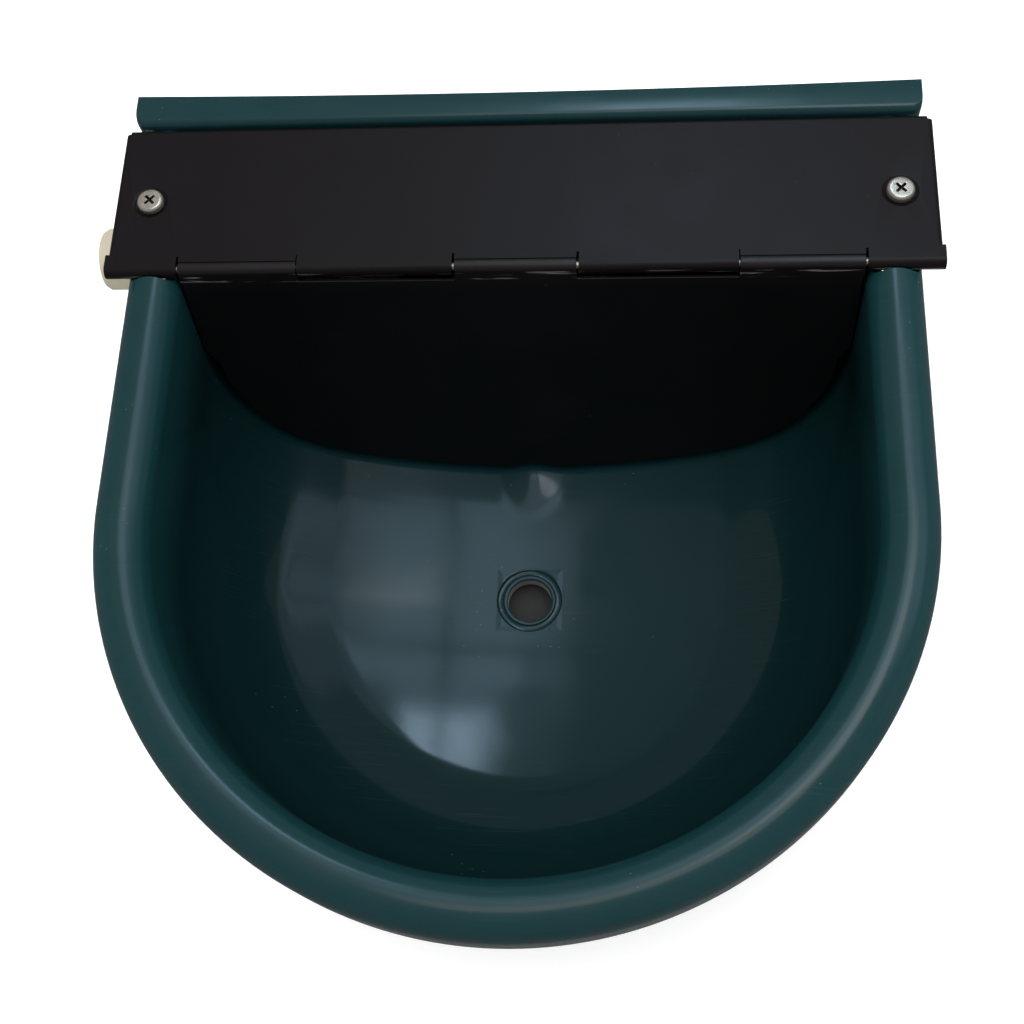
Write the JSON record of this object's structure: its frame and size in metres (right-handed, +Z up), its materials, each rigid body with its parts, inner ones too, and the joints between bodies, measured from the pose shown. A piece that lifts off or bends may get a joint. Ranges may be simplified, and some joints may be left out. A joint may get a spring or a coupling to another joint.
{
  "type": "livestock water trough",
  "caption": "Wall-mounted D-shaped drinking bowl with a folded steel cover, a hinged guard plate and a side-inlet float valve that keeps the water at one level.",
  "frame": {"origin": "midway between the two wall holes, on the flat back face that goes against the wall", "axes": "+X to the right along the wall, +Y into the wall, square to the back face, +Z up; the bowl reaches out towards -Y"},
  "size_m": [0.3208, 0.309, 0.128],
  "materials": {
    "green_plastic": "glossy dark blue-green injection-moulded plastic",
    "coated_steel": "satin charcoal powder coat",
    "guard_steel": "satin black powder coat",
    "stainless_steel": "bright stainless steel",
    "white_plastic": "satin white moulded plastic",
    "float_plastic": "semi-gloss white moulded plastic",
    "cream_plastic": "satin cream moulded plastic",
    "brass": "turned brass",
    "rubber": "matt black rubber"
  },
  "bodies": {
    "trough": {"bowl": "green_plastic", "cover_plate": "coated_steel", "cover_screws": "stainless_steel", "hinge_pin": "stainless_steel", "valve_body": "white_plastic", "valve_nozzle": "brass", "nozzle_ring": "rubber", "flange_seal": "rubber", "coupling_washer": "rubber", "inlet_coupling": "cream_plastic", "inlet_strainer": "white_plastic", "inlet_gasket": "rubber", "pivot_pin": "stainless_steel", "pin_clip": "stainless_steel"},
    "guard": {"guard_plate": "guard_steel"},
    "lever": {"valve_lever": "white_plastic", "float_rod": "stainless_steel", "rod_nuts": "stainless_steel", "float_shell": "float_plastic", "float_cap": "float_plastic"},
    "plunger": {"plunger": "white_plastic", "plunger_seal": "rubber"}
  },
  "joints": [
    {"name": "guard_hinge", "type": "hinge", "parent": "trough", "child": "guard", "pos_m": [0, -0.074, 0.0165], "axis": [-1, 0, 0], "range_deg": [0, 115]},
    {"name": "float_hinge", "type": "hinge", "parent": "trough", "child": "lever", "pos_m": [-0.076, -0.0445, -0.037], "axis": [0, -1, 0], "range_deg": [0, 22]},
    {"name": "plunger_slide", "type": "slide", "parent": "trough", "child": "plunger", "axis": [-1, 0, 0], "range_m": [0, 0.00496]}
  ],
  "couplings": [
    {"joint": "plunger_slide", "follows": "float_hinge", "m_per_rad": 0.01292}
  ]
}
